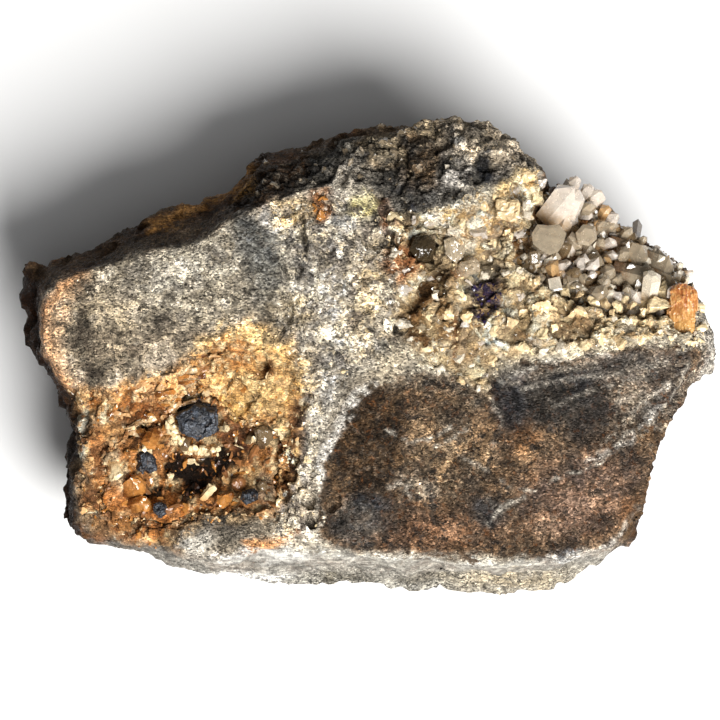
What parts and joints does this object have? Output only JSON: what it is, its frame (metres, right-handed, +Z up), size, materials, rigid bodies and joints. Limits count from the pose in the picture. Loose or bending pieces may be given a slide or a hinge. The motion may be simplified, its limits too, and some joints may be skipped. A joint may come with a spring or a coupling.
{
  "type": "topaz in greisen specimen",
  "caption": "Loose block of grey greisen with a vug lined by pale topaz crystals, a cream vein, a rust-brown joint face and an iron-stained pocket with black crystals.",
  "frame": {"origin": "middle of the underside of the block's box, on the flat broken base it lies on", "axes": "+Z up, +X along the block's length toward the end with the topaz vug, -Y toward the viewer, at the foot of the broad broken face"},
  "size_m": [0.141, 0.0958, 0.0541],
  "materials": {
    "greisen": "rough, sugary broken rock with rust, cream and dark stained areas",
    "topaz": "glassy crystal faces, cloudy and cream-stained at the foot",
    "iron_stain": "rough cream and orange crust",
    "black_ore": "black with a sub-metallic gleam",
    "smoky_quartz": "dark glassy faces",
    "stained_topaz": "glassy, stained orange-brown"
  },
  "bodies": {
    "root": {"greisen_matrix": "greisen", "topaz_druse": "topaz", "pocket_crust": "iron_stain", "black_crystal_large": "black_ore", "black_crystal_left": "black_ore", "black_crystal_right": "black_ore", "black_crystal_lower": "black_ore", "smoky_quartz_crystal": "smoky_quartz", "stained_topaz_crystal": "stained_topaz"}
  },
  "joints": []
}
